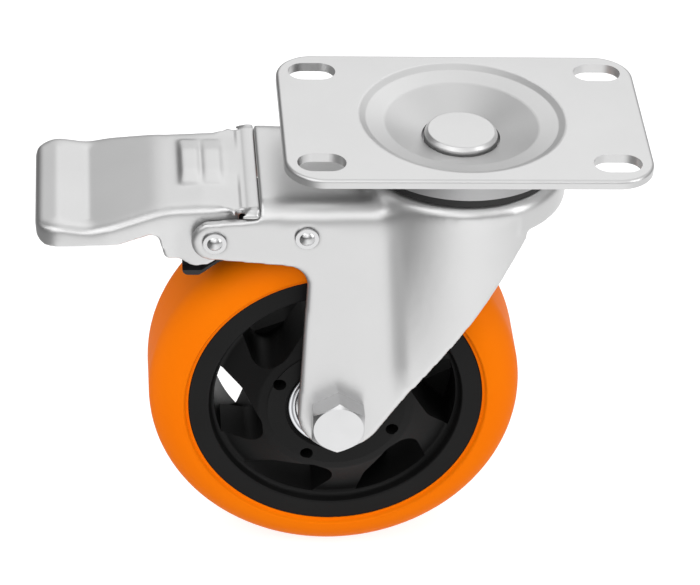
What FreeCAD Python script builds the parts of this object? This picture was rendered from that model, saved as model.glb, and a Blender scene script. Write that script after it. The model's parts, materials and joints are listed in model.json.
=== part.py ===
import FreeCAD, Part
import math
import os

# Swivel castor with a foot brake, in millimetres.
# Origin: the swivel axis on the top face of the mounting plate. Z is up, X points away from the
# wheel's trail, and the wheel turns about Y.

# Mounting plate
plate_length = 95.0
plate_thickness = 2.5
plate_corner_radius = 10.0
plate_edge_rounding = 0.9
hole_spacing_length = 76.0
hole_spacing_width = 45.0
slot_width = 8.4
slot_length = 12.6

# Dish pressed into the plate round the kingpin
dish_lip_radius = 27.1
dish_side_land = 3.9
dish_step_radius = 25.2
dish_step_depth = 0.9
dish_crease_radius = 20.2
dish_crease_depth = 2.0
dish_hole_radius = 10.3
dish_depth = 6.0
dish_step_rounding = 1.5
dish_bend_radius = 4.0

# Swivel races
race_thickness = 2.0
swivel_ball_diameter = 5.5
upper_ball_circle_radius = 21.0
lower_ball_circle_radius = 16.0
groove_depth = 1.2
groove_flat = 2.4
ball_play = 0.05
ball_spacing_gap = 0.25
cup_rim_radius = 27.4
cup_rim_drop = 3.9
seal_radius = 26.4
seal_wall = 2.4
seal_gap = 0.15
lower_race_radius = 19.6
lower_hub_radius = 10.2
lower_hub_slope = 1.7

# Kingpin
kingpin_radius = 6.0
kingpin_head_radius = 9.6
kingpin_head_top_radius = 8.8
kingpin_head_sink = 4.0
kingpin_head_edge = 1.0
kingpin_tail_radius = 7.9
kingpin_tail_height = 2.5
kingpin_fit = 0.02

# Fork sheet
sheet = 2.5
bend_radius = 6.0
head_radius = 28.3
head_shoulder = 3.8
head_hole_radius = 13.2
head_skirt_height = 9.6
web_drop = 3.2
head_rim_height = 4.2
rim_step = 0.8
ledge_reach = 3.2
web_end_x = -52.8
leg_front_x = 16.0
fold_width = 4.0
fold_depth = 1.2
fold_top_x = -21.0
fold_low_x = -16.6
fold_low_z = -64.0
fold_foot_x = -15.6
fold_foot_z = -77.0
panel_low_crown = 0.5
panel_foot_crown = 0.1

# Wheel and axle place
axle_x = -30.46
axle_z = -80.49
tread_thickness = 10.4
tread_width = 33.0
tread_shoulder = 9.0
tread_side_chamfer = 0.6
tread_overhang = 1.2
rim_outer_radius = 39.6
rim_wall = 5.5
rim_draft = 0.9
web_rim_width = 24.0
key_height = 1.8
key_width = 10.0
hub_width = 36.0
hub_side_gap = 1.7
hub_face_radius = 18.5
hub_face_step = 0.3
hub_flare_radius = 21.0
hub_flare_width = 34.6
hub_chamfer = 0.8
window_count = 6
window_turn = 11.0
window_rim_margin = 1.5
window_rim_angles = (5.0, -33.0)
window_corners = ((23.2, 25.0, 4.0), (20.4, 4.0, 6.0), (25.5, -21.0, 8.0))
hub_hole_count = 4
hub_hole_turn = 64.4
hub_hole_circle_radius = 17.1
hub_hole_radius = 1.75
hub_hole_depth = 9.0
hub_hole_face_wall = 2.0

# Wheel bearings
bearing_radius = 13.0
bearing_bore_radius = 5.0
bearing_width = 8.0
bearing_recess = 0.5
bearing_ball_diameter = 4.76
bearing_ball_count = 7
bearing_pitch_radius = 9.0
bearing_play = 0.03
inner_ring_radius = 7.3
outer_ring_inner_radius = 10.7
ring_chamfer = 0.4
shield_thickness = 0.4
shield_inset = 0.5
shield_gap = 0.2
bearing_shoulder = 1.5
sleeve_fit = 0.03

# Axle bolt
bolt_radius = 4.0
bolt_clearance = 0.1
bolt_head_flats = 13.8
bolt_head_height = 6.0
hex_chamfer_angle = 30.0
nut_height = 6.5
nut_collar_height = 1.8
nut_collar_radius = 6.0
insert_height = 1.6
insert_radius = 5.3
bolt_end = 1.5
spacer_radius = 8.0
spacer_tube_radius = 6.8

# Rivets
pivot_x = -64.6
pivot_z = -24.85
cross_x = -40.8
cross_z = -23.3
rivet_radius = 2.4
rivet_play = 0.06
rivet_head_radius = 3.0
rivet_head_height = 0.7
rivet_dome_radius = 2.0
rivet_dome_height = 0.8

# Fork outline seen from the side
leg_front_top_x = 17.0
leg_front_bend_x = 3.9
leg_front_bend_z = -48.4
leg_front_bend_radius = 200.0
leg_front_foot_x = -23.0
leg_foot_drop = 10.8
leg_foot_radius = 11.0
leg_rear_x = -41.2
leg_rear_top_x = -40.0
armpit_z = -33.0
armpit_radius = 6.0
arm_end_x = -70.6
arm_end_top_z = -19.8
arm_end_bottom_z = -29.9
arm_end_radius = 5.5
arm_top_z = -18.2

# Brake pedal
pedal_sheet = 2.0
pedal_side_gap = 0.5
pedal_tip_overhang = 0.3
pedal_top_z = -16.3
pedal_tip_x = -110.8
pedal_ridge_x = -105.0
pedal_ridge_z = -20.0
pedal_nose_drop = 1.0
pedal_nose_radius = 1.5
pedal_valley_x = -97.0
pedal_valley_z = -21.2
pedal_slope_x = -79.0
pedal_slope_z = -17.0
pedal_end_x = -53.5
pedal_ear_x = -58.6
pedal_neck_x = -61.5
pedal_tip_bottom_z = -26.3
pedal_notch_x = -81.5
pedal_notch_z = -23.9
pedal_heel_x = -76.8
pedal_heel_z = -31.5
pedal_lobe_x = -68.4
pedal_lobe_z = -34.1
pedal_tip_rounding = 3.4
pedal_edge_rounding = 1.3
pedal_ear_rise = 0.4
pedal_lip_rise = 0.6
pedal_lip_length = 2.4
relief_x = -58.2
relief_inset = 1.5
relief_radius = 1.4
rib_height = 0.7
rib_count = 2
rib_length = 21.0
rib_width = 5.7
rib_start_x = -73.2
rib_centre_y = 3.5
eye_radius = 6.2

# Brake leaf and block
leaf_sheet = 1.5
leaf_side_gap = 0.9
leaf_lip_side_gap = 0.8
leaf_root_half_width = 14.0
leaf_ramp_top_x = -62.5
leaf_ramp_top_z = -31.5
leaf_flat_x = -67.6
leaf_flat_z = -35.6
leaf_lip_x = -72.6
leaf_lip_z = -32.6
leaf_shoulder_x = -60.0
block_half_width = 7.0
block_gap = 4.1
block_start_x = -69.0
block_end_x = -62.5

# Sizes that follow from mating ones
plate_width = 2 * (dish_lip_radius + dish_side_land)
wheel_radius = rim_outer_radius + tread_thickness
rim_inner_radius = rim_outer_radius - rim_wall
rim_width = tread_width - 2 * tread_overhang
window_outer_radius = rim_inner_radius - window_rim_margin

# Heights in the swivel head, stacked down from the plate
head_z = -(plate_thickness + dish_crease_depth + race_thickness + swivel_ball_diameter
           + 2 * ball_play - groove_depth)
under_head_z = head_z - sheet
cup_top_z = -(plate_thickness + dish_crease_depth)
cup_seat_z = -(plate_thickness + dish_depth)
cup_under_z = cup_seat_z - race_thickness
upper_ball_z = head_z - groove_depth + ball_play + swivel_ball_diameter / 2
lower_ball_z = under_head_z + groove_depth - ball_play - swivel_ball_diameter / 2
lower_groove_z = lower_ball_z - swivel_ball_diameter / 2 - ball_play
lower_race_z = lower_groove_z + groove_depth
skirt_z = head_z - head_skirt_height
rim_z = head_z - head_rim_height
web_z = head_z - web_drop
inner_fork = hub_width / 2 + hub_side_gap
half_fork = inner_fork + sheet
pedal_half_width = inner_fork - pedal_side_gap
pedal_tip_half_width = half_fork + pedal_tip_overhang
leaf_half_width = inner_fork - leaf_side_gap
leaf_lip_half_width = pedal_half_width - pedal_sheet - leaf_lip_side_gap
pedal_ear_z = pedal_top_z + pedal_ear_rise
pedal_lip_x = pedal_end_x - pedal_lip_length
leg_foot_z = axle_z - leg_foot_drop
far = 200.0


def point(x, y, z):
    return FreeCAD.Vector(x, y, z)


def rounded_face(corners, place):
    """A face whose outline runs through corners (u, v, radius), each corner rounded by its radius."""
    starts, middles, ends = [], [], []
    count = len(corners)
    for index, corner in enumerate(corners):
        before, after = corners[index - 1], corners[(index + 1) % count]
        here = point(corner[0], corner[1], 0)
        into = here - point(before[0], before[1], 0)
        out = point(after[0], after[1], 0) - here
        into.normalize()
        out.normalize()
        radius = corner[2] if len(corner) > 2 else 0.0
        turn = into.getAngle(out)
        reach = radius * math.tan(turn / 2)
        starts.append(here - into * reach)
        ends.append(here + out * reach)
        inward = out - into
        if radius > 0 and inward.Length > 1e-9:
            inward.normalize()
            middles.append(here + inward * (radius / math.cos(turn / 2) - radius))
        else:
            middles.append(None)
    edges = []
    for index in range(count):
        if middles[index] is not None:
            arc_points = [starts[index], middles[index], ends[index]]
            edges.append(Part.Arc(*[place(p.x, p.y) for p in arc_points]).toShape())
        tail, head = ends[index], starts[(index + 1) % count]
        if (head - tail).Length > 1e-6:
            edges.append(Part.LineSegment(place(tail.x, tail.y), place(head.x, head.y)).toShape())
    return Part.Face(Part.Wire(edges))


def side_prism(corners, y_from, y_to):
    """An (x, z) outline carried from one y to another."""
    face = rounded_face(corners, lambda x, z: point(x, y_from, z))
    return face.extrude(point(0, y_to - y_from, 0))


def plan_prism(corners, z_from, z_to):
    """An (x, y) outline carried from one z to another."""
    face = rounded_face(corners, lambda x, y: point(x, y, z_from))
    return face.extrude(point(0, 0, z_to - z_from))


def swivel_turned(corners):
    """An (r, z) section turned about the swivel axis."""
    face = rounded_face(corners, lambda r, z: point(r, 0, z))
    return face.revolve(point(0, 0, 0), point(0, 0, 1), 360)


def wheel_turned(corners):
    """An (r, y) section turned about the axle."""
    face = rounded_face(corners, lambda r, y: point(axle_x + r, y, axle_z))
    return face.revolve(point(axle_x, 0, axle_z), point(0, 1, 0), 360)


def block(x_from, x_to, y_from, y_to, z_from, z_to):
    corner = point(x_from, y_from, z_from)
    return Part.makeBox(x_to - x_from, y_to - y_from, z_to - z_from, corner)


def cross_cylinder(x, z, radius, y_from, y_to):
    return Part.makeCylinder(radius, y_to - y_from, point(x, y_from, z), point(0, 1, 0))


def mirrored(shape):
    return shape.mirror(point(0, 0, 0), point(0, 1, 0))


def ring_of_balls(count, circle_radius, z, radius):
    balls = []
    for index in range(count):
        angle = 2 * math.pi * index / count
        centre = point(circle_radius * math.cos(angle), circle_radius * math.sin(angle), z)
        balls.append(Part.makeSphere(radius, centre))
    return Part.makeCompound(balls)


def ball_count(circle_radius):
    return int(2 * math.pi * circle_radius / (swivel_ball_diameter + ball_spacing_gap))


def edges_where(shape, test):
    return [edge for edge in shape.Edges if test(edge)]


def rim_edges(solid):
    """The edges where a face that looks up meets an upright wall."""
    found = []
    for edge in solid.Edges:
        middle = edge.valueAt((edge.FirstParameter + edge.LastParameter) / 2)
        slopes = []
        for face in solid.ancestorsOfType(edge, Part.Face):
            u, v = face.Surface.parameter(middle)
            slopes.append(face.normalAt(u, v).z)
        if max(slopes) > 0.5 and abs(min(slopes)) < 0.05:
            found.append(edge)
    return found


def make_top_plate():
    half_length, half_width = plate_length / 2, plate_width / 2
    corners = [(sx * half_length, sy * half_width, plate_corner_radius)
               for sx, sy in ((-1, -1), (1, -1), (1, 1), (-1, 1))]
    sheet_body = plan_prism(corners, -plate_thickness, 0)
    top_edges = edges_where(sheet_body, lambda e: abs(e.BoundBox.ZMin) < 1e-6)
    sheet_body = sheet_body.makeFillet(plate_edge_rounding, top_edges)
    bottom = -plate_thickness
    under = [(0, bottom), (dish_lip_radius, bottom, dish_step_rounding),
             (dish_step_radius, bottom - dish_step_depth, dish_step_rounding),
             (dish_crease_radius, bottom - dish_crease_depth, dish_bend_radius),
             (dish_hole_radius, bottom - dish_depth), (0, bottom - dish_depth)]
    above = [(0, 1), (dish_lip_radius, 1), (dish_lip_radius, 0),
             (dish_step_radius, -dish_step_depth, dish_step_rounding),
             (dish_crease_radius, -dish_crease_depth, dish_bend_radius),
             (dish_hole_radius, -dish_depth), (0, -dish_depth)]
    plate = sheet_body.fuse(swivel_turned(under)).cut(swivel_turned(above))
    lip = edges_where(plate, lambda e: e.BoundBox.ZLength < 1e-6 and abs(e.BoundBox.ZMin) < 1e-6
                      and abs(e.BoundBox.XLength - 2 * dish_lip_radius) < 1e-3)
    plate = plate.makeFillet(dish_step_rounding, lip)
    plate = plate.cut(Part.makeCylinder(dish_hole_radius, far, point(0, 0, -far / 2)))
    for sx in (-1, 1):
        for sy in (-1, 1):
            x, y = sx * hole_spacing_length / 2, sy * hole_spacing_width / 2
            reach, half = slot_length / 2, slot_width / 2
            slot = [(x - reach, y - half, half), (x + reach, y - half, half),
                    (x + reach, y + half, half), (x - reach, y + half, half)]
            plate = plate.cut(plan_prism(slot, -far / 2, far / 2))
    return plate


def make_upper_race():
    bore = kingpin_radius + kingpin_fit
    groove_top = upper_ball_z + swivel_ball_diameter / 2 + ball_play
    half_flat = groove_flat / 2
    circle = upper_ball_circle_radius
    rim_z = cup_top_z - cup_rim_drop
    section = [(bore, cup_seat_z), (dish_hole_radius, cup_seat_z),
               (dish_crease_radius, cup_top_z, dish_bend_radius),
               (circle + half_flat + 0.9, cup_top_z, 2.5), (cup_rim_radius, rim_z),
               (cup_rim_radius - race_thickness, rim_z),
               (circle + half_flat + groove_depth, groove_top - groove_depth, 1.5),
               (circle + half_flat, groove_top, 0.8), (circle - half_flat, groove_top, 0.8),
               (circle - half_flat - groove_depth, groove_top - groove_depth, 1.0),
               (dish_hole_radius, cup_under_z, 2), (bore, cup_under_z)]
    return swivel_turned(section)


def make_dust_seal():
    top = cup_top_z - cup_rim_drop - seal_gap
    inner = seal_radius - seal_wall
    section = [(inner, head_z), (seal_radius, head_z), (seal_radius, top, 0.5), (inner, top, 0.5)]
    return swivel_turned(section)


def make_lower_race():
    bore = kingpin_radius + kingpin_fit
    wall = race_thickness * 0.9
    half_flat = groove_flat / 2
    circle = lower_ball_circle_radius
    foot = lower_hub_radius + lower_hub_slope
    bottom = lower_race_z - race_thickness
    section = [(bore, cup_under_z), (lower_hub_radius, cup_under_z, 1.0), (foot, lower_race_z, 0.5),
               (circle - half_flat - groove_depth, lower_race_z, 0.6),
               (circle - half_flat, lower_groove_z, 0.8), (circle + half_flat, lower_groove_z, 0.8),
               (circle + half_flat + groove_depth, lower_race_z, 0.6), (lower_race_radius, lower_race_z, 0.4),
               (lower_race_radius, bottom, 0.4), (circle + half_flat + groove_depth, bottom, 0.6),
               (circle + half_flat, lower_groove_z - race_thickness, 0.8),
               (circle - half_flat, lower_groove_z - race_thickness, 0.8),
               (circle - half_flat - groove_depth, bottom, 0.6), (foot - wall, bottom, 0.8),
               (lower_hub_radius - wall, cup_under_z - race_thickness), (bore, cup_under_z - race_thickness)]
    return swivel_turned(section)


def make_kingpin():
    top = -kingpin_head_sink
    tail_top = cup_under_z - race_thickness
    tail = tail_top - kingpin_tail_height
    section = [(0, top), (kingpin_head_top_radius, top, 0.5),
               (kingpin_head_radius, top - kingpin_head_edge, 0.5), (kingpin_head_radius, cup_seat_z),
               (kingpin_radius, cup_seat_z), (kingpin_radius, tail_top), (kingpin_tail_radius, tail_top),
               (kingpin_tail_radius, tail, 1.2), (0, tail)]
    return swivel_turned(section)


def head_form(z, outer, corner, bottom):
    """The swivel head's pressed form, solid down to bottom, with both ball grooves in its top."""
    half_flat = groove_flat / 2
    low, high = lower_ball_circle_radius, upper_ball_circle_radius
    section = [(0, z), (low - half_flat - groove_depth, z, 0.6),
               (low - half_flat, z + groove_depth, 0.6), (low + half_flat, z + groove_depth, 0.6),
               (high - half_flat, z - groove_depth, 0.6), (high + half_flat, z - groove_depth, 0.6),
               (high + half_flat + groove_depth, z, 0.3), (outer, z, corner), (outer, bottom), (0, bottom)]
    return swivel_turned(section)


def channel_form(half_width, top, corner):
    """The inverted channel of the legs and the rear arms, with its two long bends."""
    corners = [(-half_width, top, corner), (half_width, top, corner), (half_width, -far),
               (-half_width, -far)]
    face = rounded_face(corners, lambda y, z: point(-far, y, z))
    return face.extrude(point(far + leg_front_x, 0, 0))


def front_panel(half_width, corner, radius, top):
    """The front of one leg: beyond a long fold it swells from the foot up to the round head."""
    levels = ((fold_top_x, top, fold_depth, radius - rim_step),
              (fold_low_x, fold_low_z, fold_depth, half_width + fold_depth + panel_low_crown),
              (fold_foot_x, fold_foot_z, 0, half_width + panel_foot_crown))
    wires = []
    for fold_x, z, depth, crown in levels:
        foot = point(fold_x, -half_width, z)
        start = point(fold_x + fold_width, -half_width - depth, z)
        end = point(leg_front_x, -half_width - depth, z)
        middle = point((start.x + end.x) / 2, -crown, z)
        corners = [end, point(leg_front_x, 0, z), point(fold_x, 0, z), foot, start]
        edges = [Part.makeLine(before, after) for before, after in zip(corners, corners[1:])]
        wires.append(Part.Wire([Part.Arc(start, middle, end).toShape()] + edges))
    ledge = radius + ledge_reach
    dome = swivel_turned([(0, top), (ledge, top, corner), (ledge, -far), (0, -far)])
    return Part.makeLoft(wires, True, True).common(dome)


def leg_and_head(half_width, corner, head_top, radius, shoulder, rim, web_top):
    """The fork's pressed form without its thickness: head, skirt, channel and front panels."""
    front = block(leg_front_x - 2, far, -far, far, -far, far)
    form = head_form(head_top, radius, shoulder, rim)
    form = form.fuse(head_form(head_top, radius, shoulder, skirt_z).common(front))
    form = form.fuse(channel_form(half_width, web_top, corner))
    panel = front_panel(half_width, corner, radius, web_top)
    return form.fuse([panel, mirrored(panel)])


def fork_outline():
    """The fork seen from the side: arms, legs, web and head."""
    above = 1.0
    front = head_radius + above
    return [(web_end_x, above), (web_end_x, arm_top_z, 1.0), (arm_end_x, arm_end_top_z, arm_end_radius),
            (arm_end_x, arm_end_bottom_z, arm_end_radius), (leg_rear_top_x, armpit_z, armpit_radius),
            (leg_rear_x, leg_foot_z, leg_foot_radius), (leg_front_foot_x, leg_foot_z, leg_foot_radius),
            (leg_front_bend_x, leg_front_bend_z, leg_front_bend_radius),
            (leg_front_top_x, skirt_z, 3.0), (front, skirt_z), (front, above)]


def make_fork():
    outer = leg_and_head(half_fork, bend_radius, head_z, head_radius, head_shoulder, rim_z, web_z)
    inner = leg_and_head(inner_fork, bend_radius - sheet, under_head_z, head_radius - sheet,
                         head_shoulder - sheet, rim_z - sheet, web_z - sheet)
    inner = inner.fuse(block(-far, web_end_x, -inner_fork, inner_fork, -far, 0))
    fork = outer.cut(inner).common(side_prism(fork_outline(), -far, far))
    fork = fork.cut(Part.makeCylinder(head_hole_radius, far, point(0, 0, -far / 2)))
    hole = rivet_radius + rivet_play
    bolt_hole = bolt_radius + bolt_clearance
    for x, z, radius in ((pivot_x, pivot_z, hole), (cross_x, cross_z, hole), (axle_x, axle_z, bolt_hole)):
        fork = fork.cut(cross_cylinder(x, z, radius, -far, far))
    return fork.removeSplitter()


def polar(radius, degrees):
    angle = math.radians(degrees)
    return axle_x + radius * math.cos(angle), axle_z + radius * math.sin(angle)


def window_form(turn, side):
    """One raked window between two spokes, from the middle of the core out through one side."""
    first, last = [(rim_outer_radius, angle, 0) for angle in window_rim_angles]
    outline = [first, *window_corners, last]
    corners = [polar(radius, turn - side * angle) + (rounding,) for radius, angle, rounding in outline]
    y_from, y_to = sorted((0, side * far))
    form = side_prism(corners, y_from, y_to)
    return form.common(cross_cylinder(axle_x, axle_z, window_outer_radius, -far, far))


def make_wheel_core():
    half_hub, half_rim = hub_width / 2, rim_width / 2
    shoulder = half_hub - bearing_recess - bearing_width
    half = [(bearing_radius - bearing_shoulder, shoulder), (bearing_radius, shoulder),
            (bearing_radius, half_hub - hub_chamfer), (bearing_radius + hub_chamfer, half_hub),
            (hub_face_radius, half_hub), (hub_face_radius, half_hub - hub_face_step),
            (hub_flare_radius, hub_flare_width / 2, 3.0),
            (rim_inner_radius - rim_draft, web_rim_width / 2, 1.5), (rim_inner_radius, half_rim, 0.5),
            (rim_outer_radius, half_rim, 0.3), (rim_outer_radius, key_width / 2, 0.3),
            (rim_outer_radius + key_height, key_width / 2 - 1, 0.3)]
    section = half + [(r, -y) + tuple(rest) for r, y, *rest in reversed(half)]
    core = wheel_turned(section)
    for index in range(window_count):
        for side in (-1, 1):
            core = core.cut(window_form(window_turn + 360.0 * index / window_count, side))
    for index in range(hub_hole_count):
        x, z = polar(hub_hole_circle_radius, hub_hole_turn + 360.0 * index / hub_hole_count)
        for side in (-1, 1):
            y_from = side * half_hub
            y_to = side * (half_hub - hub_hole_depth)
            core = core.cut(cross_cylinder(x, z, hub_hole_radius, min(y_from, y_to), max(y_from, y_to)))
    return core


def make_tread():
    half_rim, half_tread = rim_width / 2, tread_width / 2
    edge = rim_outer_radius + tread_side_chamfer
    half = [(rim_outer_radius + key_height, key_width / 2 - 1, 0.3), (rim_outer_radius, key_width / 2, 0.3),
            (rim_outer_radius, half_rim), (edge, half_rim), (edge + tread_side_chamfer, half_tread, 0.5),
            (wheel_radius, half_tread, tread_shoulder)]
    section = half + [(r, -y) + tuple(rest) for r, y, *rest in reversed(half)]
    return wheel_turned(section)


def bearing_faces(side):
    """The inner and the outer y of one bearing."""
    outer = hub_width / 2 - bearing_recess
    return side * (outer - bearing_width), side * outer


def make_bearing_ring(side, inner, outer):
    y_from, y_to = sorted(bearing_faces(side))
    section = [(inner, y_from, ring_chamfer), (outer, y_from, ring_chamfer), (outer, y_to, ring_chamfer),
               (inner, y_to, ring_chamfer)]
    ring = wheel_turned(section)
    groove = Part.makeTorus(bearing_pitch_radius, bearing_ball_diameter / 2 + bearing_play,
                            point(axle_x, (y_from + y_to) / 2, axle_z), point(0, 1, 0))
    return ring.cut(groove)


def make_bearing_balls(side):
    y_from, y_to = bearing_faces(side)
    balls = []
    for index in range(bearing_ball_count):
        x, z = polar(bearing_pitch_radius, 360.0 * index / bearing_ball_count)
        balls.append(Part.makeSphere(bearing_ball_diameter / 2, point(x, (y_from + y_to) / 2, z)))
    return Part.makeCompound(balls)


def make_bearing_shields(side):
    y_from, y_to = sorted(bearing_faces(side))
    shields = []
    for y in (y_from + shield_inset, y_to - shield_inset - shield_thickness):
        section = [(inner_ring_radius + shield_gap, y), (outer_ring_inner_radius, y),
                   (outer_ring_inner_radius, y + shield_thickness),
                   (inner_ring_radius + shield_gap, y + shield_thickness)]
        shields.append(wheel_turned(section))
    return Part.makeCompound(shields)


def axle_tube(inner, outer, y_from, y_to):
    low, high = sorted((y_from, y_to))
    tube = cross_cylinder(axle_x, axle_z, outer, low, high)
    return tube.cut(cross_cylinder(axle_x, axle_z, inner, low, high))


def hexagon(flats, y_from, y_to, chamfer_side):
    """A hexagon about the axle, one corner up, with the corners of one face chamfered."""
    corner_radius = flats / math.sqrt(3)
    corners = [polar(corner_radius, 90 + 60 * index) for index in range(6)]
    low, high = sorted((y_from, y_to))
    form = side_prism(corners, low, high)
    drop = (corner_radius - flats / 2) * math.tan(math.radians(hex_chamfer_angle))
    face = high if chamfer_side > 0 else low
    section = [(0, low), (corner_radius + 1, low), (corner_radius + 1, high), (0, high)]
    slant = [(flats / 2 * 0.97, face), (corner_radius + 1, face),
             (corner_radius + 1, face - chamfer_side * (drop + 1 * math.tan(math.radians(hex_chamfer_angle))))]
    keep = wheel_turned(section).cut(wheel_turned(slant))
    return form.common(keep)


def make_axle_bolt():
    head = hexagon(bolt_head_flats, -half_fork, -half_fork - bolt_head_height, -1)
    end = half_fork + nut_height + nut_collar_height + bolt_end
    section = [(0, -half_fork - 0.5), (bolt_radius, -half_fork - 0.5), (bolt_radius, end - 1),
               (bolt_radius - 1, end), (0, end)]
    return head.fuse(wheel_turned(section)).removeSplitter()


def make_axle_nut():
    body = hexagon(bolt_head_flats, half_fork, half_fork + nut_height, 1)
    top = half_fork + nut_height + nut_collar_height
    collar = [(0, half_fork + 1), (nut_collar_radius, half_fork + 1), (nut_collar_radius, top, 0.8),
              (insert_radius - 0.6, top), (0, top)]
    nut = body.fuse(wheel_turned(collar))
    nut = nut.cut(cross_cylinder(axle_x, axle_z, bolt_radius + bolt_clearance / 2, 0, far))
    return nut.cut(cross_cylinder(axle_x, axle_z, insert_radius, top - insert_height - 0.3, top - 0.3))


def make_nut_insert():
    top = half_fork + nut_height + nut_collar_height - 0.3
    return axle_tube(bolt_radius + bolt_clearance / 2, insert_radius, top - insert_height, top)


def make_rivet(x, z):
    """A rivet across both arms, with a flat head and a dome at each end."""
    rivet = cross_cylinder(x, z, rivet_radius, -half_fork, half_fork)
    for side in (-1, 1):
        base = side * half_fork
        rim = base + side * rivet_head_height
        head = cross_cylinder(x, z, rivet_head_radius, min(base, rim), max(base, rim))
        sphere_radius = (rivet_dome_radius ** 2 + rivet_dome_height ** 2) / (2 * rivet_dome_height)
        centre = rim + side * (rivet_dome_height - sphere_radius)
        dome = Part.makeSphere(sphere_radius, point(x, centre, z))
        beyond = rim + side * sphere_radius
        dome = dome.common(cross_cylinder(x, z, rivet_dome_radius, min(rim, beyond), max(rim, beyond)))
        rivet = rivet.fuse([head, dome])
    return rivet.removeSplitter()


def pedal_plan(half_width, tip_half_width, end_half_width, tip_x, end_x):
    """The pedal seen from above: a wide tip, a narrow body between the arms and wide ears."""
    one_side = [(tip_x, -tip_half_width, 6.0), (pedal_valley_x + 6, -tip_half_width, 18.0),
                (pedal_slope_x + 3, -half_width, 18.0), (pedal_neck_x, -half_width, 2.5),
                (pedal_ear_x, -end_half_width, 1.8), (end_x, -end_half_width, 1.0)]
    return one_side + [(x, -y, radius) for x, y, radius in reversed(one_side)]


def pedal_top(drop):
    """The pedal's tread from its tip to its ears, seen from the side."""
    return [(pedal_tip_x + drop, pedal_ridge_z - pedal_nose_drop - drop, pedal_nose_radius),
            (pedal_ridge_x, pedal_ridge_z - drop, pedal_nose_radius),
            (pedal_valley_x, pedal_valley_z - drop, 1.0 + drop * 0.2),
            (pedal_slope_x, pedal_slope_z - drop, 25.0), (pedal_neck_x - 6, pedal_top_z - drop, 20.0),
            (pedal_end_x + 1, pedal_ear_z - drop)]


def pedal_flange_outline(tip_x):
    """The lower edge of the pedal's flanges, from the heart of the pivot round to the tip."""
    return [(pivot_x + eye_radius, pedal_ear_z - pedal_sheet), (pivot_x + eye_radius, pivot_z - 3.4, 4.0),
            (pedal_lobe_x + 2.2, pedal_lobe_z + 0.2, 3.0), (pedal_lobe_x - 2.0, pedal_lobe_z, 3.0),
            (pedal_heel_x + 3.5, pedal_heel_z - 0.4, 2.0), (pedal_heel_x - 0.4, pedal_heel_z - 0.2, 1.5),
            (pedal_notch_x + 2.2, pedal_notch_z, 2.5), (pedal_notch_x - 4, pedal_notch_z - 1.0, 3.0),
            (pedal_valley_x + 8, pedal_tip_bottom_z + 0.5, 8.0),
            (tip_x, pedal_tip_bottom_z, pedal_tip_rounding)]


def make_brake_pedal():
    outline = pedal_top(0) + [(pedal_end_x + 1, pedal_ear_z - pedal_sheet)]
    outline = outline + pedal_flange_outline(pedal_tip_x)
    outer = side_prism(outline, -far, far)
    plan = pedal_plan(pedal_half_width, pedal_tip_half_width, half_fork, pedal_tip_x, pedal_end_x)
    outer = outer.common(plan_prism(plan, -far, 0)).Solids[0]
    outer = outer.makeFillet(pedal_edge_rounding, rim_edges(outer))
    hollow = pedal_top(pedal_sheet)[:-1] + [(pedal_end_x + 2, pedal_ear_z - pedal_sheet),
                                            (pedal_end_x + 2, -far), (pedal_tip_x + pedal_sheet, -far)]
    inner = side_prism(hollow, -far, far)
    inner_plan = pedal_plan(pedal_half_width - pedal_sheet, pedal_tip_half_width - pedal_sheet,
                            pedal_half_width - pedal_sheet, pedal_tip_x + pedal_sheet, pedal_end_x + 5)
    inner = inner.common(plan_prism(inner_plan, -far, 0))
    pedal = outer.cut(inner)
    for side in (-1, 1):
        y_near, y_far = sorted((side * (pedal_half_width + 0.01), side * far))
        under_ear = block(pedal_neck_x - 8, far, y_near, y_far, -far, pedal_ear_z - pedal_sheet)
        pedal = pedal.cut(under_ear)
        relief = Part.makeCylinder(relief_radius, far, point(relief_x, side * (half_fork - relief_inset), -far / 2))
        pedal = pedal.cut(relief)
    pedal = pedal.cut(cross_cylinder(pivot_x, pivot_z, rivet_radius + rivet_play, -far, far))
    lip_corners = [(pedal_lip_x, pedal_ear_z - 0.9), (pedal_lip_x, pedal_ear_z + pedal_lip_rise, 0.5),
                   (pedal_end_x, pedal_ear_z + pedal_lip_rise, 0.5), (pedal_end_x, pedal_ear_z - 0.9)]
    lip_reach = half_fork - pedal_edge_rounding
    pedal = pedal.fuse(side_prism(lip_corners, -lip_reach, lip_reach))
    for index in range(rib_count):
        x = rib_start_x + index * rib_width
        ridge = [(x, pedal_top_z - 0.9), (x + 0.2, pedal_top_z + rib_height, 0.6),
                 (x + rib_width - 0.4, pedal_top_z + rib_height, 0.6), (x + rib_width - 0.2, pedal_top_z - 0.9)]
        half_rib = rib_length / 2
        pedal = pedal.fuse(side_prism(ridge, rib_centre_y - half_rib, rib_centre_y + half_rib))
    return pedal.removeSplitter()


def leaf_profile():
    """The leaf's upper face, from the cross rivet's eye down to the upturned lip."""
    return [(cross_x - 2.0, cross_z - 2.0), (leaf_ramp_top_x, leaf_ramp_top_z), (leaf_flat_x, leaf_flat_z),
            (leaf_lip_x + leaf_sheet, leaf_flat_z), (leaf_lip_x + leaf_sheet, leaf_lip_z)]


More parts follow.
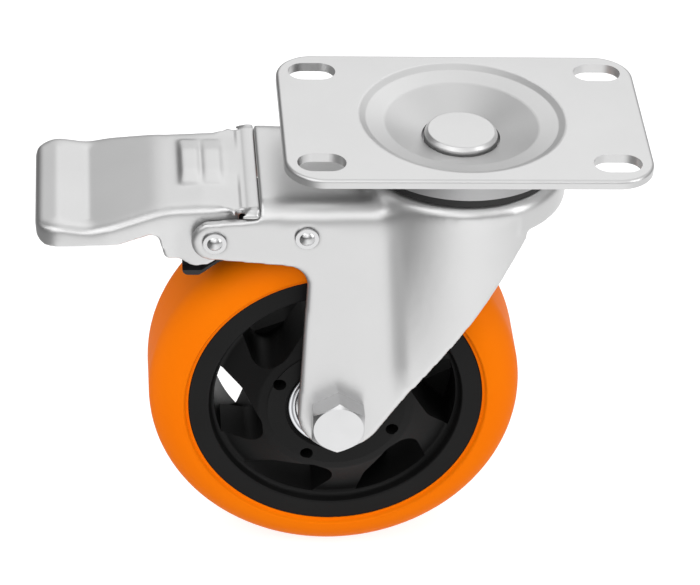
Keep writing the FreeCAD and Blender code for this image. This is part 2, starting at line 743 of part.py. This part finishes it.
def make_brake_leaf():
    eye_bore = rivet_radius + rivet_play
    eye_outer = eye_bore + leaf_sheet
    upper = leaf_profile()
    lower = [(leaf_lip_x, leaf_lip_z), (leaf_lip_x, leaf_flat_z - leaf_sheet, 1.6),
             (leaf_flat_x - 0.6, leaf_flat_z - leaf_sheet, 1.5),
             (leaf_ramp_top_x - 0.7, leaf_ramp_top_z - leaf_sheet, 3.0),
             (cross_x - 2.0, cross_z - 2.0 - leaf_sheet)]
    strip = side_prism(upper + lower, -leaf_half_width, leaf_half_width)
    plan = [(leaf_lip_x - 1, -leaf_half_width), (leaf_shoulder_x, -leaf_half_width, 2.0),
            (leaf_shoulder_x + 4, -leaf_root_half_width, 2.0), (0, -leaf_root_half_width)]
    plan = plan + [(x, -y) + tuple(rest) for x, y, *rest in reversed(plan)]
    strip = strip.common(plan_prism(plan, -far, 0))
    for y_from, y_to in ((-far, -leaf_lip_half_width), (leaf_lip_half_width, far)):
        strip = strip.cut(block(-far, leaf_flat_x, y_from, y_to, leaf_flat_z, 0))
    width = leaf_root_half_width
    eye = cross_cylinder(cross_x, cross_z, eye_outer, -width, width)
    leaf = strip.fuse(eye)
    return leaf.cut(cross_cylinder(cross_x, cross_z, eye_bore, -far, far)).removeSplitter()


def make_brake_block():
    """The rubber block under the leaf, fitted to its bends and hollowed to the tread."""
    rubber = block(block_start_x, block_end_x, -block_half_width, block_half_width, axle_z, leaf_ramp_top_z)
    clear = cross_cylinder(axle_x, axle_z, wheel_radius + block_gap, -far, far)
    pieces = rubber.cut(make_brake_leaf()).cut(clear).Solids
    under_leaf = [piece for piece in pieces if piece.CenterOfMass.z < leaf_ramp_top_z - leaf_sheet]
    return max(under_leaf, key=lambda piece: piece.Volume)


def make_parts():
    parts = {
        "top_plate": make_top_plate(),
        "upper_race": make_upper_race(),
        "upper_swivel_balls": ring_of_balls(ball_count(upper_ball_circle_radius), upper_ball_circle_radius,
                                            upper_ball_z, swivel_ball_diameter / 2),
        "dust_seal": make_dust_seal(),
        "fork": make_fork(),
        "lower_swivel_balls": ring_of_balls(ball_count(lower_ball_circle_radius), lower_ball_circle_radius,
                                            lower_ball_z, swivel_ball_diameter / 2),
        "lower_race": make_lower_race(),
        "kingpin": make_kingpin(),
        "wheel_core": make_wheel_core(),
        "tread": make_tread(),
        "axle_bolt": make_axle_bolt(),
        "axle_nut": make_axle_nut(),
        "nut_insert": make_nut_insert(),
        "pedal_rivet": make_rivet(pivot_x, pivot_z),
        "cross_rivet": make_rivet(cross_x, cross_z),
        "brake_pedal": make_brake_pedal(),
        "brake_leaf": make_brake_leaf(),
        "brake_block": make_brake_block(),
    }
    sleeve_inner = bolt_radius + bolt_clearance
    sleeve_outer = bearing_bore_radius - sleeve_fit
    parts["axle_sleeve"] = axle_tube(sleeve_inner, sleeve_outer, -inner_fork, inner_fork)
    inner_face, outer_face = bearing_faces(1)
    parts["bearing_spacer"] = axle_tube(bearing_bore_radius, spacer_tube_radius, -inner_face, inner_face)
    for name, side in (("near", -1), ("far", 1)):
        parts[name + "_bearing_outer_ring"] = make_bearing_ring(side, outer_ring_inner_radius, bearing_radius)
        parts[name + "_bearing_inner_ring"] = make_bearing_ring(side, bearing_bore_radius, inner_ring_radius)
        parts[name + "_bearing_balls"] = make_bearing_balls(side)
        parts[name + "_bearing_shields"] = make_bearing_shields(side)
        parts[name + "_axle_spacer"] = axle_tube(bearing_bore_radius, spacer_radius, side * outer_face,
                                                 side * inner_fork)
    return parts


os.makedirs("parts", exist_ok=True)
for node, shape in make_parts().items():
    shape.exportStep(os.path.join("parts", node + ".step"))
    print(node, len(shape.Solids), round(shape.Volume), shape.isValid())
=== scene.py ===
# %% [markdown]
# # A swivel castor with a foot brake
#
# A castor carries a trolley or a bench on one wheel that turns about two axes: the axle, and the
# upright swivel axis through the plate. The solids of the part give every piece its true size.
# This lesson gives them their surfaces: pressed and zinc-plated sheet, a cast orange tread on a
# moulded black core, and bright turned hardware.

# %% Tools and the solids
import bpy
import bmesh
import json
import math
from mathutils import Matrix, Vector


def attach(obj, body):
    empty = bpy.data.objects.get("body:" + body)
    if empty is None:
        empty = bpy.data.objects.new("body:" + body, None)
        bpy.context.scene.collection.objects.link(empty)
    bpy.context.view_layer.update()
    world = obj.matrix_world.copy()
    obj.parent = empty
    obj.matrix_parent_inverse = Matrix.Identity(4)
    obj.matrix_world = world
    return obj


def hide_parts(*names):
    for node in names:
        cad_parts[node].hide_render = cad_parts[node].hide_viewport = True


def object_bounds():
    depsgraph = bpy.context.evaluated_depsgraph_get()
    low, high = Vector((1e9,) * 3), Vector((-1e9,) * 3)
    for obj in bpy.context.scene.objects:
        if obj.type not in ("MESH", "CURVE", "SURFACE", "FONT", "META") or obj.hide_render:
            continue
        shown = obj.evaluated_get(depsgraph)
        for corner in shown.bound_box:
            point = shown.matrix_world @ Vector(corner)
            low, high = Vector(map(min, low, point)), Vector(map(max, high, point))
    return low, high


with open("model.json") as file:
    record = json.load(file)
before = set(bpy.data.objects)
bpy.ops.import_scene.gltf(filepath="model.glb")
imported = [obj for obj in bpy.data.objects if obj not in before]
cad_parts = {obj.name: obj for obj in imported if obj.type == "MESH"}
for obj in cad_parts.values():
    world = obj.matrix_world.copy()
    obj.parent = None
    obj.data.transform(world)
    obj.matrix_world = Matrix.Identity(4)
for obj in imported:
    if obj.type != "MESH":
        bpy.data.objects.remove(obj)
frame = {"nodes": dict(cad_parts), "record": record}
cad_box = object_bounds()
nodes = frame["nodes"]
mm = 0.001
print(len(nodes), "solids loaded")

# %% [markdown]
# ## A small language for surfaces
#
# A real surface is never one even colour. Handling, plating and moulding leave soft patches and a
# fine grain. Each finish below is built from noise that is measured in the object's own space, so
# that the pattern sits still on the piece. The noise could be wired up box by box in the shader
# editor, but sums and products are easier to read, so one class turns arithmetic into nodes.

# %% Arithmetic on shader sockets
class Signal:
    """A value in a material: plus, minus, times and divided by add the matching nodes."""

    def __init__(self, tree, socket=None):
        self.tree = tree
        self.socket = socket

    def node(self, kind, settings, sockets, output=0):
        made = self.tree.nodes.new(kind)
        for name, value in settings.items():
            setattr(made, name, value)
        for name, value in sockets.items():
            if isinstance(value, Signal):
                self.tree.links.new(value.socket, made.inputs[name])
            else:
                made.inputs[name].default_value = value
        return Signal(self.tree, made.outputs[output] if len(made.outputs) else None)

    def math(self, operation, first, second):
        return self.node("ShaderNodeMath", {"operation": operation}, {0: first, 1: second})

    def __add__(self, other):
        return self.math("ADD", self, other)

    def __radd__(self, other):
        return self.math("ADD", other, self)

    def __sub__(self, other):
        return self.math("SUBTRACT", self, other)

    def __rsub__(self, other):
        return self.math("SUBTRACT", other, self)

    def __mul__(self, other):
        return self.math("MULTIPLY", self, other)

    def __rmul__(self, other):
        return self.math("MULTIPLY", other, self)

    def __truediv__(self, other):
        return self.math("DIVIDE", self, other)

    def __rtruediv__(self, other):
        return self.math("DIVIDE", other, self)


print("arithmetic ready")

# %% [markdown]
# ## Patterns and colours
#
# Four short helpers cover every finish: a soft noise, a product of two vectors, a colour between
# two others, and a relief. A fifth one gathers the sockets of a finish into a material.

# %% Helpers for the finishes
def grain(place, scale, detail=3.0):
    """Soft noise from 0 to 1, with about that many patches to the metre."""
    return place.node("ShaderNodeTexNoise", {}, {"Vector": place, "Scale": scale, "Detail": detail})


def times(first, second):
    """Two colours or two vectors, multiplied part by part."""
    return first.node("ShaderNodeVectorMath", {"operation": "MULTIPLY"}, {0: first, 1: second})


def grey(value):
    return (value, value, value, 1)


def tint(amount, dark, light):
    """A colour between two, as amount goes from 0 to 1."""
    return amount.node("ShaderNodeMix", {"data_type": "RGBA"}, {0: amount, 6: dark, 7: light}, 2)


def bumps(height, distance):
    return height.node("ShaderNodeBump", {}, {"Height": height, "Distance": distance})


def finish(name, recipe):
    """A material whose surface sockets come from recipe(place)."""
    material = bpy.data.materials.new(name)
    material.use_nodes = True
    material.node_tree.nodes.clear()
    blank = Signal(material.node_tree)
    place = blank.node("ShaderNodeTexCoord", {}, {}, "Object")
    surface = blank.node("ShaderNodeBsdfPrincipled", {}, recipe(place))
    blank.node("ShaderNodeOutputMaterial", {}, {"Surface": surface})
    print("finish:", name)
    return material


print("helpers ready")

# %% [markdown]
# ## Zinc-plated sheet
#
# The plate, the fork and the pedal are pressed from cold-rolled steel and plated with zinc in a
# barrel. Barrel plating tumbles the pieces against each other, so the shine is satin and slightly
# cloudy. An even grey metal would look like plastic here. So the cloud changes the roughness a
# little more than the colour, as on the real coat.

# %% Finish of the pressed sheet
def zinc_sheet(place):
    cloud = grain(place, 45.0)
    speck = grain(place, 900.0, 2.0)
    return {"Base Color": tint(cloud, grey(0.60), grey(0.68)),
            "Metallic": 0.9,
            "Roughness": 0.31 + 0.06 * cloud + 0.04 * speck,
            "Normal": bumps(speck, 0.005 * mm)}


sheet_finish = finish("zinc_sheet", zinc_sheet)

# %% [markdown]
# ## Bright turned and drawn metal
#
# Bolt, nut, rivets and spacers are turned or cold-headed, so they leave the machine smoother than
# the sheet, with fine tool lines across the axle. The cup under the plate is drawn over a polished
# die and is the smoothest of all. It needs no lines, only a low roughness.

# %% Finishes of the hardware
def bright_zinc(place):
    cloud = grain(place, 120.0)
    lines = grain(times(place, (1.0, 9.0, 1.0)), 500.0, 2.0)
    return {"Base Color": tint(cloud, (0.55, 0.55, 0.555, 1), (0.66, 0.66, 0.665, 1)),
            "Metallic": 1.0,
            "Roughness": 0.20 + 0.08 * cloud,
            "Normal": bumps(lines, 0.003 * mm)}


def drawn_zinc(place):
    cloud = grain(place, 60.0)
    return {"Base Color": tint(cloud, (0.62, 0.62, 0.625, 1), (0.70, 0.70, 0.705, 1)),
            "Metallic": 1.0,
            "Roughness": 0.10 + 0.04 * cloud}


hardware_finish = finish("bright_zinc", bright_zinc)
cup_finish = finish("drawn_zinc", drawn_zinc)

# %% [markdown]
# ## Ground bearing steel
#
# The faces of a ball bearing are ground, and their fine grooves round the axle catch the light as
# bright and dark rings. They could be cut as real grooves, but they are far too fine for that. Here
# a sine of the distance from the axle draws them as a fine relief, and paints the rings into the
# colour as well: the bright rings are painted sheen and the dark rings painted shade. The record of
# the part says where the axle is.

# %% Finish of the bearings
joints = {joint["name"]: joint for joint in frame["record"]["behaviour"]["joints"]}
axle_place = joints["wheel_spin"]["pos_m"]
ring_spacing = 1.1 * mm


def ball_steel(place):
    cloud = grain(place, 200.0)
    offset = place.node("ShaderNodeVectorMath", {"operation": "SUBTRACT"}, {0: place, 1: axle_place})
    across_axle = times(offset, (1.0, 0.0, 1.0))
    radius = place.node("ShaderNodeVectorMath", {"operation": "LENGTH"}, {0: across_axle}, 1)
    wave = place.node("ShaderNodeMath", {"operation": "SINE"}, {0: radius * (2 * math.pi / ring_spacing)})
    grooves_and_sheen = 0.5 + 0.5 * wave
    # The dark and the light tone of the rings are painted shade and painted sheen of the ground grooves,
    # not colours of the steel.
    dark = tint(cloud, (0.16, 0.16, 0.17, 1), (0.24, 0.24, 0.25, 1))
    light = tint(cloud, (0.62, 0.63, 0.65, 1), (0.72, 0.73, 0.75, 1))
    return {"Base Color": tint(grooves_and_sheen * 1.6, dark, light),
            "Metallic": 1.0,
            "Roughness": 0.14 + 0.10 * cloud,
            "Normal": bumps(grooves_and_sheen, 0.05 * mm)}


bearing_finish = finish("ball_steel", ball_steel)

# %% [markdown]
# ## Tread and core
#
# The tread is polyurethane, cast round the core and turned smooth, so it has a satin coat over a
# strong orange. The core is glass-filled nylon from a mould, almost black, with a faint grain that
# catches light only on its edges. Both would look chalky with the usual shine of a plastic, so
# their specular level is low.

# %% Finishes of the wheel
def orange_tread(place):
    cloud = grain(place, 30.0)
    fine = grain(place, 700.0, 2.0)
    return {"Base Color": tint(cloud, (1.0, 0.185, 0.0, 1), (1.0, 0.225, 0.001, 1)),
            "Roughness": 0.46 + 0.08 * fine,
            "Specular IOR Level": 0.04,
            "Normal": bumps(fine, 0.01 * mm)}


def black_nylon(place):
    cloud = grain(place, 60.0)
    fine = grain(place, 1500.0, 2.0)
    return {"Base Color": tint(cloud, grey(0.004), grey(0.008)),
            "Roughness": 0.40 + 0.12 * fine,
            "Specular IOR Level": 0.14,
            "Normal": bumps(fine, 0.015 * mm)}


tread_finish = finish("orange_tread", orange_tread)
core_finish = finish("black_nylon", black_nylon)

# %% [markdown]
# ## Seal, brake and nut insert
#
# The seal and the brake block are rubber, the brake leaf is spring steel in black oxide, and the
# ring that locks the nut is natural nylon. They are small and mostly in shade, so a colour and a
# roughness with a soft patch each are enough.

# %% Finishes of the small pieces
def black_rubber(place):
    fine = grain(place, 900.0, 2.0)
    return {"Base Color": tint(fine, grey(0.008), grey(0.016)),
            "Roughness": 0.55 + 0.15 * fine,
            "Normal": bumps(fine, 0.02 * mm)}


def black_oxide(place):
    cloud = grain(place, 80.0)
    return {"Base Color": tint(cloud, (0.010, 0.010, 0.011, 1), (0.022, 0.022, 0.024, 1)),
            "Metallic": 0.4,
            "Roughness": 0.30 + 0.12 * cloud}


def white_nylon(place):
    cloud = grain(place, 150.0)
    return {"Base Color": tint(cloud, (0.62, 0.61, 0.57, 1), (0.74, 0.73, 0.69, 1)),
            "Roughness": 0.40 + 0.10 * cloud}


finishes = {
    "zinc_steel": sheet_finish,
    "bright_zinc": hardware_finish,
    "bearing_steel": bearing_finish,
    "orange_tread": tread_finish,
    "black_nylon": core_finish,
    "black_rubber": finish("black_rubber", black_rubber),
    "black_steel": finish("black_oxide", black_oxide),
    "white_nylon": finish("white_nylon", white_nylon),
}

# %% [markdown]
# ## Each solid gets its finish
#
# The record of the part names a material for every solid, so the finishes go on in one loop. The
# cup has the material of the sheet, but its die has polished it, so it takes its own finish.

# %% Finishes on the solids
slot_of = {part["node"]: part["material_slot"] for part in frame["record"]["subparts"]}
for name, solid in nodes.items():
    for slot in solid.material_slots:
        slot.material = cup_finish if name == "upper_race" else finishes[slot_of[name]]
print("finishes on", len(slot_of), "nodes")

# %% [markdown]
# ## Soft pressed shapes
#
# Sheet that has been drawn over a die has no sharp line anywhere: each bend keeps the radius of
# the tool, and the round head of the fork melts into its flat legs. Bevels on the edges of the
# solids would stop where the bends meet. So the fork and the pedal start from their solids, the
# surface is rebuilt as an even skin of small faces, and the skin is relaxed. That rounds every
# edge by a little more than half a millimetre, as barrel finishing does.

# %% Even skins over the two solids
merge_distance = 0.001 * mm
half_way = 0.5


def merged_copy(node, name):
    """A piece with the solid's own surface, its seams closed."""
    mesh = nodes[node].data.copy()
    mesh.name = name
    work = bmesh.new()
    work.from_mesh(mesh)
    bmesh.ops.remove_doubles(work, verts=work.verts, dist=merge_distance)
    bmesh.ops.recalc_face_normals(work, faces=work.faces)
    work.to_mesh(mesh)
    work.free()
    piece = bpy.data.objects.new(name, mesh)
    bpy.context.collection.objects.link(piece)
    return piece


def relax(piece, face_width, passes):
    """Give a piece an even skin of small faces, smoothed that many times."""
    skin = piece.modifiers.new("Skin", "REMESH")
    skin.mode = "VOXEL"
    skin.voxel_size = face_width
    skin.use_smooth_shade = True
    soften = piece.modifiers.new("Soften", "SMOOTH")
    soften.factor = half_way
    soften.iterations = passes
    graph = bpy.context.evaluated_depsgraph_get()
    relaxed = bpy.data.meshes.new_from_object(piece.evaluated_get(graph))
    relaxed.name = piece.name
    piece.modifiers.clear()
    piece.data = relaxed
    print(piece.name, "has", len(relaxed.polygons), "faces")


fork = merged_copy("fork", "soft_fork")
relax(fork, 0.53 * mm, 7)
pedal = merged_copy("brake_pedal", "soft_pedal")
relax(pedal, 0.4 * mm, 10)

# %% [markdown]
# ## Where the die draws deepest
#
# Some zones are drawn far softer than the rest. Each zone is a function of the place, in
# millimetres: a share of 1 is smoothed fully, 0 stays, and the share fades in between, so that no
# zone has a border. The first zone is the ledge, where the web, the legs and the round head of the
# fork flow into each other. It ends above the rivets, so that their heads sit on flat sheet.

# %% The fork's ledge
def held(value):
    """The value, kept between 0 and 1."""
    return min(max(value, 0.0), 1.0)


ledge_from, ledge_to, ledge_fade = -50.0, 12.0, 5.0
ledge_low, ledge_low_fade = -27.0, 5.0
rivet_end_x, rivet_fade, rivet_lift = -30.0, 5.0, 6.0
wall_from, wall_fade = 14.0, 2.0


def on_the_wall(place):
    return (abs(place.y) - wall_from) / wall_fade


def ledge_share(place):
    along = min(place.x - ledge_from, ledge_to - place.x) / ledge_fade
    lift = rivet_lift * held((rivet_end_x - place.x) / rivet_fade)
    above = (place.z - ledge_low - lift) / ledge_low_fade
    return min(along, above, on_the_wall(place), 1.0)


print("ledge from x", ledge_from, "to", ledge_to, "mm")

# %% [markdown]
# ## The fold down the leg
#
# A shallow fold runs from the ledge to the axle and stiffens the leg. Its line leans a little, so
# it is given by three places, each with its height and its x. It is struck with a smaller radius
# than the ledge, and is smoothed by half as much.

# %% The fork's fold
fold_line = ((-23.0, -21.0), (-64.0, -16.6), (-77.0, -15.6))
fold_reach, fold_softness = 6.0, 0.5
fold_end_z, fold_end_fade = -76.0, 8.0


def fold_x(z):
    (top, top_x), (bend, bend_x), (foot, foot_x) = fold_line
    if z > bend:
        return top_x + (bend_x - top_x) * (top - z) / (top - bend)
    return bend_x + (foot_x - bend_x) * (bend - z) / (bend - foot)


def drawn_share(place):
    near = 1.0 - abs(place.x - fold_x(place.z)) / fold_reach
    above_foot = (place.z - fold_end_z) / fold_end_fade
    fold = fold_softness * min(near, above_foot, on_the_wall(place), 1.0)
    return max(ledge_share(place), fold)


print("fold from z", fold_line[0][0], "to", fold_line[-1][0], "mm")

# %% [markdown]
# ## The web's end, and the smoothing
#
# The relaxed skin draws back from the cut end of the web, which would widen the gap to the pedal.
# The end is therefore pushed out again by the same amount. Then a vertex group holds the shares,
# and a Smooth modifier that reads it melts the zones.

# %% The fork melted
web_end_from, web_end_fade, web_end_push, web_low = -49.0, 2.0, 0.3, -20.0
for vertex in fork.data.vertices:
    place = vertex.co / mm
    if place.x < web_end_from and place.z > web_low:
        place.x -= web_end_push * held((web_end_from - place.x) / web_end_fade)
        vertex.co = place * mm


def melt(piece, share, passes):
    """Smooth a piece further where share(place) is above 0."""
    zone = piece.vertex_groups.new(name="drawn")
    for vertex in piece.data.vertices:
        weight = share(vertex.co / mm)
        if weight > 0:
            zone.add([vertex.index], min(weight, 1.0), "REPLACE")
    soften = piece.modifiers.new("Melt", "SMOOTH")
    soften.factor = half_way
    soften.iterations = passes
    soften.vertex_group = zone.name
    print(piece.name, "melted in", passes, "passes")


melt(fork, drawn_share, 115)

# %% [markdown]
# ## The pedal's rounded rim
#
# The pedal is a shallow tray. A foot presses on it, so its long edges and its nose are drawn with
# a large radius, and its two ribs rise softly out of the sheet. The crease across the tray stays
# crisp, because it is struck, not drawn, so the zone keeps to the rim and to the ribs.

# %% The pedal's drawn zone
rim_inside, nose_rim_inside, rim_fade = 13.0, 17.0, 3.0
tray_widens_x, nose_x = -86.0, -108.5
flange_z, flange_fade = -24.5, 1.5
tail_x, tail_fade = -62.5, 1.5
rib_from, rib_to, rib_low_y, rib_high_y = -76.0, -59.0, -9.0, 16.0
rib_softness = 0.16


def rim_share(place):
    inner = nose_rim_inside if place.x < tray_widens_x else rim_inside
    rim = max(abs(place.y) - inner, nose_x - place.x) / rim_fade
    above = (place.z - flange_z) / flange_fade
    ahead = (tail_x - place.x) / tail_fade
    if rib_from < place.x < rib_to and rib_low_y < place.y < rib_high_y:
        return rib_softness
    return min(rim, above, ahead, 1.0)


print("pedal rim from", rim_inside, "mm outwards")

# %% [markdown]
# ## Ribs, lip and end of the pedal
#
# The ribs run out flat towards both sides of the tray. The lip at the pedal's end rises only at
# its two corners, and the end itself is pushed out like the web's, so that the two sheets almost
# meet. All three are small moves of the skin, made before it is melted.

# %% The pedal shaped and melted
tray_z, rib_margin = -16.3, 1.0
rib_centre, rib_full, rib_gone = 3.5, 5.0, 12.5
lip_from, lip_floor, lip_left, lip_keep_y = -57.2, -15.9, 0.25, 19.5
end_from, end_fade, end_push = -56.0, 2.0, 0.35
for vertex in pedal.data.vertices:
    place = vertex.co / mm
    if rib_from < place.x < rib_to + rib_margin and place.z > tray_z:
        height_left = held((rib_gone - abs(place.y - rib_centre)) / (rib_gone - rib_full))
        place.z = tray_z + (place.z - tray_z) * height_left
    if place.x > lip_from and abs(place.y) < lip_keep_y and place.z > lip_floor:
        place.z = lip_floor + (place.z - lip_floor) * lip_left
    if place.x > end_from:
        place.x += end_push * held((place.x - end_from) / end_fade)
    vertex.co = place * mm
melt(pedal, rim_share, 110)

# %% [markdown]
# ## The skins take the solids' places
#
# A skin stands for its solid, moves with the same body and wears the same material. The solids
# stay in the file, hidden, as the true shape.

# %% Fork and pedal replaced
for piece, node, body in ((fork, "fork", "fork"), (pedal, "brake_pedal", "pedal")):
    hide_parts(node)
    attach(piece, body)
    print(piece.name, "stands for", node)

# %% [markdown]
# ## Camera
#
# The camera stands where the photograph's camera stood. Its place was fitted to the plate's edges,
# its four slots and the outline of the wheel. It looks down by 34 degrees and leans a little. It is
# then moved sideways, because the plate's centre doesn't lie in the middle of the picture.

# %% Camera
yaw, pitch, roll = 0.0996488, 0.5992776, 0.0567965
focal_pixels, image_width, image_height = 3535.479, 700, 585
target_x, target_y, distance = 462.337, 116.527, 919.687 * mm
film_width, near_limit = 36.0, 0.05

forward = Vector((math.sin(yaw) * math.cos(pitch), math.cos(yaw) * math.cos(pitch), -math.sin(pitch)))
level = Vector((math.cos(yaw), -math.sin(yaw), 0))
upright = level.cross(forward)
right = math.cos(roll) * level + math.sin(roll) * upright
up = math.cos(roll) * upright - math.sin(roll) * level
shift_x = (target_x - image_width / 2) / focal_pixels * distance
shift_y = (target_y - image_height / 2) / focal_pixels * distance
eye = shift_y * up - shift_x * right - distance * forward

camera = bpy.data.objects.new("Camera", bpy.data.cameras.new("Camera"))
bpy.context.collection.objects.link(camera)
camera.data.sensor_width = film_width
camera.data.lens = film_width * focal_pixels / image_width
camera.data.clip_start = near_limit
axes = Matrix((right, up, -forward)).transposed().to_4x4()
camera.matrix_world = Matrix.Translation(eye) @ axes
bpy.context.scene.camera = camera
print("camera at", [round(value, 3) for value in eye])

# %% [markdown]
# ## Lamps
#
# Bright metal shows a small lamp as a hard spot. So the castor is lit by four large panels: one
# above on the left, a broad one in front, a weaker one on the right and a faint one behind.

# %% Lamps
lamp_target = Vector((-0.03, 0, -0.05))


def area_lamp(name, place, size, power):
    lamp = bpy.data.objects.new(name, bpy.data.lights.new(name, "AREA"))
    lamp.data.shape = "RECTANGLE"
    lamp.data.size, lamp.data.size_y = size
    lamp.data.energy = power
    lamp.location = place
    aim = lamp_target - Vector(place)
    lamp.rotation_euler = aim.to_track_quat("-Z", "Y").to_euler()
    bpy.context.collection.objects.link(lamp)
    print("lamp:", name, power, "W")


area_lamp("Key", (-0.6, -0.35, 0.75), (1.1, 0.8), 3.4)
area_lamp("Fill", (0.8, -0.5, 0.3), (0.4, 0.8), 2.4)
area_lamp("Front", (-0.35, -1.0, 0.45), (1.2, 0.8), 2.5)
area_lamp("Back", (0.1, 0.8, 0.7), (1.0, 0.4), 0.6)

# %% [markdown]
# ## Floor
#
# The floor is plain pale paper. Light reaches a surface by three kinds of ray, and the paper has a
# tone for each: white to the camera, so that it melts into the backdrop, a plain grey as a source
# of light, and the room's tone in a mirror. The metal sees the room below it instead of the paper,
# so the paper itself is left out of the reflections.

# %% Floor
floor_reach = 4.0
floor_mesh = bpy.data.meshes.new("Floor")
work = bmesh.new()
bmesh.ops.create_grid(work, x_segments=1, y_segments=1, size=floor_reach)
work.to_mesh(floor_mesh)
work.free()
floor = bpy.data.objects.new("Floor", floor_mesh)
floor.location.z = cad_box[0][2]
floor.visible_glossy = False
bpy.context.collection.objects.link(floor)


def studio_tone(place, plain, mirrored):
    """White to the camera or through glass, mirrored in gloss, and plain as a source of light."""
    seen, clear, gloss = [place.node("ShaderNodeLightPath", {}, {}, name)
                          for name in ("Is Camera Ray", "Is Transmission Ray", "Is Glossy Ray")]
    direct = place.math("MAXIMUM", seen, clear)
    return tint(direct, tint(gloss, plain, mirrored), grey(1.0))


def paper(place):
    cloud = grain(place, 4.0)
    return {"Base Color": tint(cloud, grey(0.44), grey(0.46)),
            "Roughness": 0.9,
            "Specular IOR Level": 0.0,
            "Emission Color": studio_tone(place, grey(0.3), grey(1.0)),
            "Emission Strength": 0.8}


floor_mesh.materials.append(finish("paper", paper))

# %% [markdown]
# ## The room in the metal
#
# Sheet metal shows its form only by what it mirrors. A white room all round would make it flat, so
# the mirrored room is darker on the left, pale on the right and dim at the level of the eye. These
# tones give the fold and the bends their soft shades, and the camera never sees them directly.

# %% World
world = bpy.data.worlds.new("Studio")
world.use_nodes = True
world.node_tree.nodes.clear()
blank = Signal(world.node_tree)
direction = blank.node("ShaderNodeTexCoord", {}, {}, "Generated")
across, height = [blank.node("ShaderNodeSeparateXYZ", {}, {0: direction}, axis) for axis in (0, 2)]
slope = blank.node("ShaderNodeMath", {"operation": "ABSOLUTE"}, {0: height})

left_wall = tint((across + 0.50) / 0.55, grey(0.20), grey(1.08))
side_walls = tint((across - 0.20) / 0.50, left_wall, grey(0.80))
eye_level = tint((slope - 0.02) / 0.36, grey(0.22), grey(1.0))
ground_and_roof = tint(0.5 + 2.0 * height, grey(1.26), grey(0.95))
room = times(times(side_walls, eye_level), ground_and_roof)
glow = studio_tone(blank, grey(0.64), room)
background = blank.node("ShaderNodeBackground", {}, {"Color": glow, "Strength": 1.0})
blank.node("ShaderNodeOutputWorld", {}, {"Surface": background})
bpy.context.scene.world = world
bpy.context.scene.view_settings.view_transform = "Standard"
print("studio ready")
